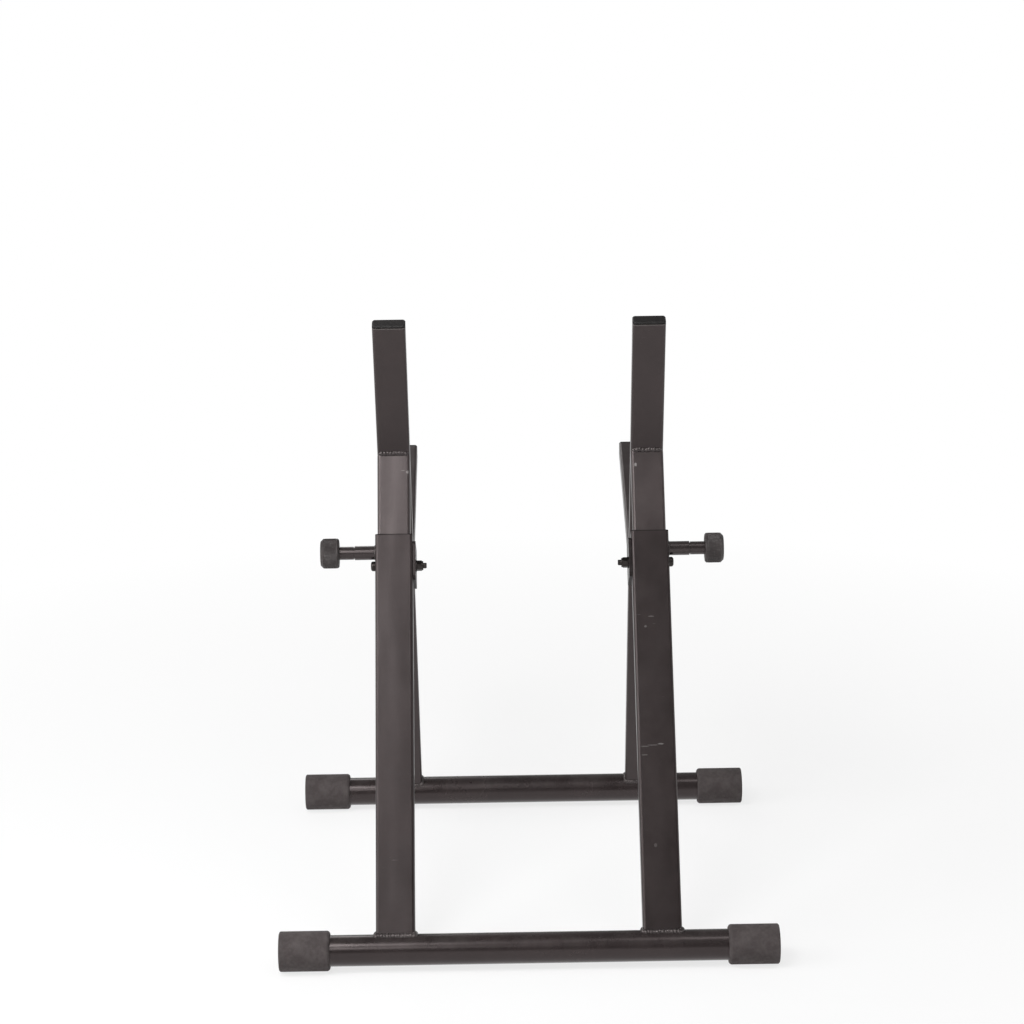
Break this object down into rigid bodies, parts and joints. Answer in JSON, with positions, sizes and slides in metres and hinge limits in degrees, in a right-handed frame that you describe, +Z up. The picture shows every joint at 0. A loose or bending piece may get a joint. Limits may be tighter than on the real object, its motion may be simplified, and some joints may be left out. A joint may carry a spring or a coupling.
{
  "type": "folding amplifier stand",
  "caption": "Folding tilt-back floor stand for an amplifier: crossed leg frames on a bolted hinge, spring pull pins, support arms and rubber-capped crossbars.",
  "frame": {"origin": "on the floor, under the middle of the stand's bounding box", "axes": "+Z up, +Y from the rear crossbar towards the front crossbar, the way the amplifier faces, +X to the right of someone standing behind it"},
  "size_m": [0.511, 0.5822, 0.6249],
  "materials": {
    "frame_paint": "satin warm-black powder coat",
    "plate_paint": "satin black powder coat",
    "barrel_paint": "semi-gloss black paint",
    "foot_rubber": "matte mottled charcoal rubber",
    "plug_plastic": "matte black push-in plug",
    "knob_plastic": "black ribbed grip",
    "bolt_steel": "black zinc plated",
    "guide_steel": "blackened turned steel",
    "pin_steel": "turned and polished",
    "spring_steel": "drawn spring wire",
    "bush_steel": "turned"
  },
  "bodies": {
    "front_frame": {"front_crossbar": "frame_paint", "left_front_foot_cap": "foot_rubber", "left_back_post": "frame_paint", "left_top_plug": "plug_plastic", "left_support_arm": "frame_paint", "left_arm_plug": "plug_plastic", "left_hinge_tongue": "frame_paint", "left_hinge_bush": "bush_steel", "right_front_foot_cap": "foot_rubber", "right_back_post": "frame_paint", "right_top_plug": "plug_plastic", "right_support_arm": "frame_paint", "right_arm_plug": "plug_plastic", "right_hinge_tongue": "frame_paint", "right_hinge_bush": "bush_steel"},
    "rear_frame": {"rear_crossbar": "frame_paint", "left_rear_foot_cap": "foot_rubber", "left_rear_leg": "frame_paint", "left_hinge_plate": "plate_paint", "left_hinge_bolt": "bolt_steel", "left_washer": "bolt_steel", "left_lock_nut": "bolt_steel", "left_pin_barrel": "barrel_paint", "left_pin_guide": "guide_steel", "left_coil_spring": "spring_steel", "right_rear_foot_cap": "foot_rubber", "right_rear_leg": "frame_paint", "right_hinge_plate": "plate_paint", "right_hinge_bolt": "bolt_steel", "right_washer": "bolt_steel", "right_lock_nut": "bolt_steel", "right_pin_barrel": "barrel_paint", "right_pin_guide": "guide_steel", "right_coil_spring": "spring_steel"},
    "left_pull_pin_body": {"left_pull_pin": "pin_steel", "left_knob": "knob_plastic"},
    "right_pull_pin_body": {"right_pull_pin": "pin_steel", "right_knob": "knob_plastic"}
  },
  "joints": [
    {"name": "fold", "type": "hinge", "parent": "front_frame", "child": "rear_frame", "pos_m": [0, -0.04823, 0.36257], "axis": [1, 0, 0], "range_deg": [0, 59]},
    {"name": "left_pull_pin_slide", "type": "slide", "parent": "rear_frame", "child": "left_pull_pin_body", "axis": [-1, 0, 0], "range_m": [-0.004, 0.004], "stiffness_N_per_m": 400, "springref_m": -0.006, "deforming": ["left_coil_spring"]},
    {"name": "right_pull_pin_slide", "type": "slide", "parent": "rear_frame", "child": "right_pull_pin_body", "axis": [1, 0, 0], "range_m": [-0.004, 0.004], "stiffness_N_per_m": 400, "springref_m": -0.006, "deforming": ["right_coil_spring"]}
  ]
}
